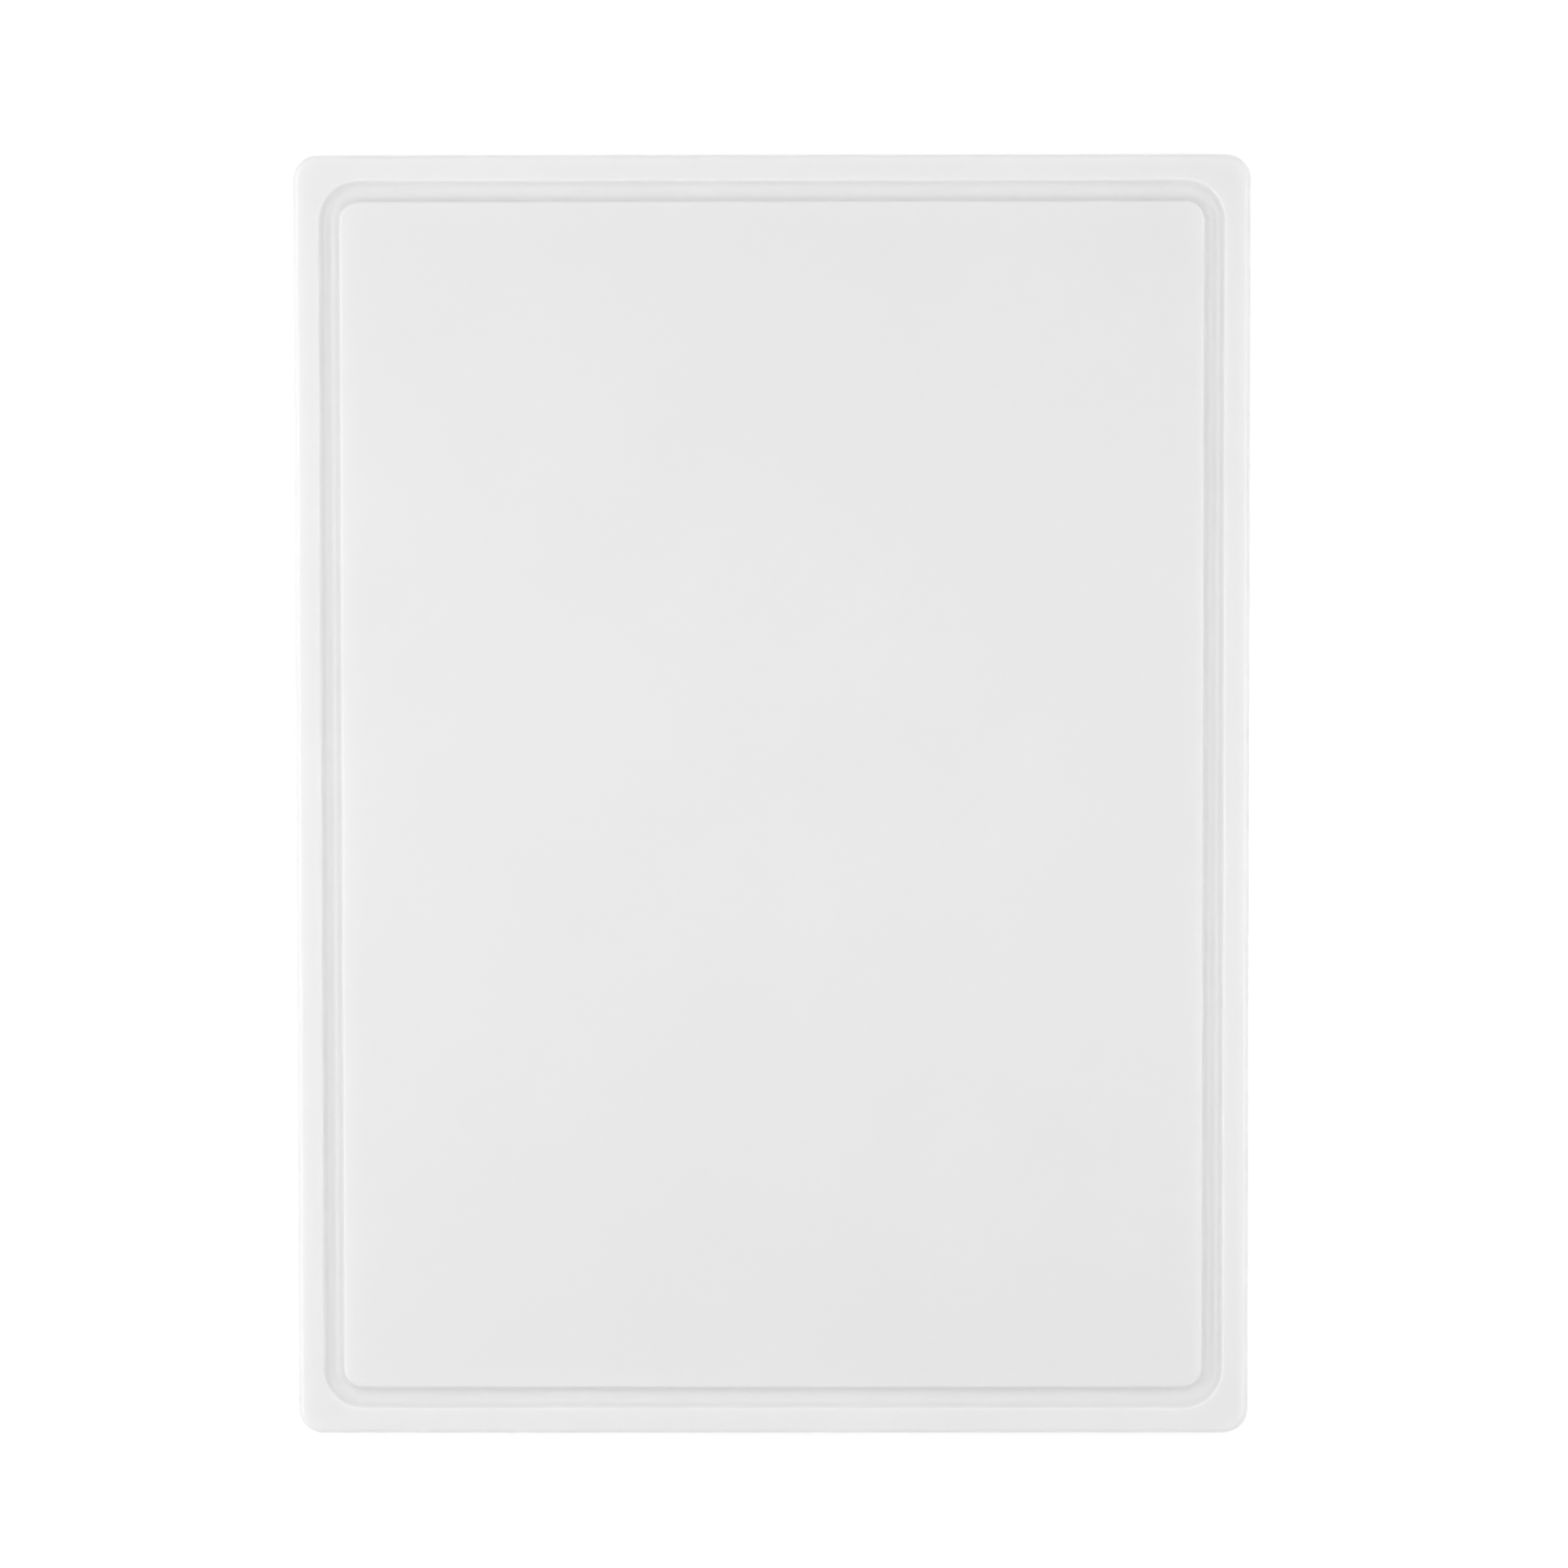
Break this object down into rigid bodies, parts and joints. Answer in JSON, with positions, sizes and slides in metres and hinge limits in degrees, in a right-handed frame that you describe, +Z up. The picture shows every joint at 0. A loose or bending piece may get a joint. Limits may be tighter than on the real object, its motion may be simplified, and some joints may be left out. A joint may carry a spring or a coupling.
{
  "type": "cutting board",
  "caption": "Rectangular white plastic cutting board with rounded corners, eased edges and a juice groove routed round its cutting face.",
  "frame": {"origin": "centre of the underside, on the surface that the board lies on", "axes": "+X across the board's width, +Y along its length, +Z up out of the grooved cutting face"},
  "size_m": [0.455, 0.61, 0.0127],
  "materials": {
    "polyethylene": "natural white high-density polyethylene, satin planed faces, faintly translucent at the edges"
  },
  "bodies": {
    "root": {"board": "polyethylene"}
  },
  "joints": []
}
